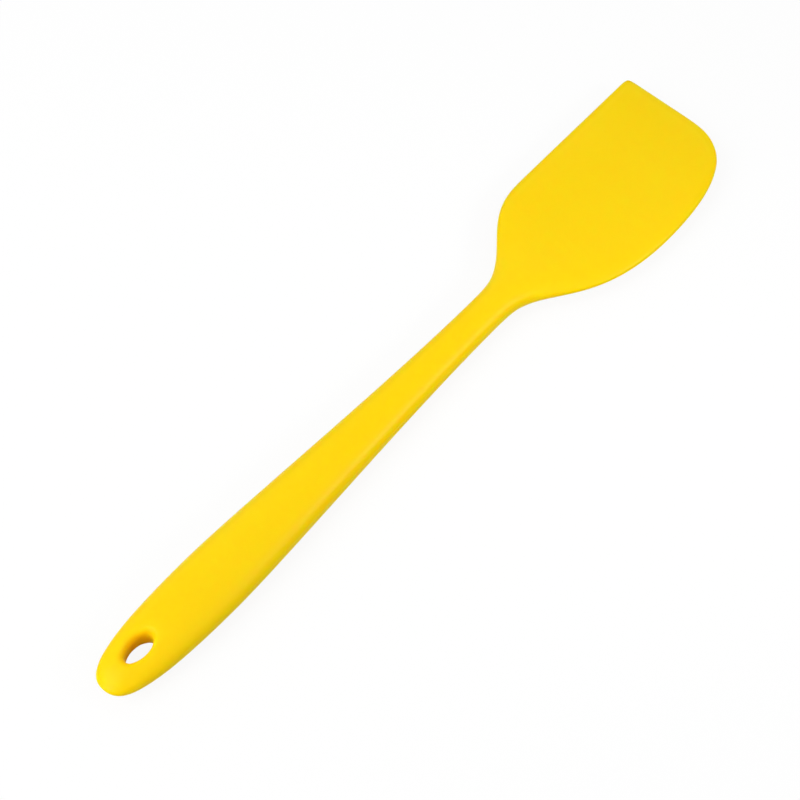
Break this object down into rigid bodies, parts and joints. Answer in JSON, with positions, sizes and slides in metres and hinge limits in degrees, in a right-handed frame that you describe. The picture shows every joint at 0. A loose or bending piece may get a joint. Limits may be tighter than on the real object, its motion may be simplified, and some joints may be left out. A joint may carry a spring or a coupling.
{
  "type": "silicone spatula",
  "caption": "Seamless yellow silicone spatula with a round tapering handle, an oval hanging hole and a thin blade with a straight edge, a curved edge and a square tip, for scraping bowls.",
  "frame": {"origin": "middle of the bounding box, on the level of the handle's lowest line", "axes": "+X from the handle's end to the blade's tip, +Y towards the blade's straight edge, +Z out of the front face"},
  "size_m": [0.28, 0.052, 0.0124],
  "materials": {
    "silicone": "yellow silicone rubber with a soft satin-matt moulded surface",
    "nylon": "grey moulded nylon, hidden inside the silicone"
  },
  "bodies": {
    "root": {"front_skin": "silicone", "back_skin": "silicone", "stiff_core": "nylon"}
  },
  "joints": []
}
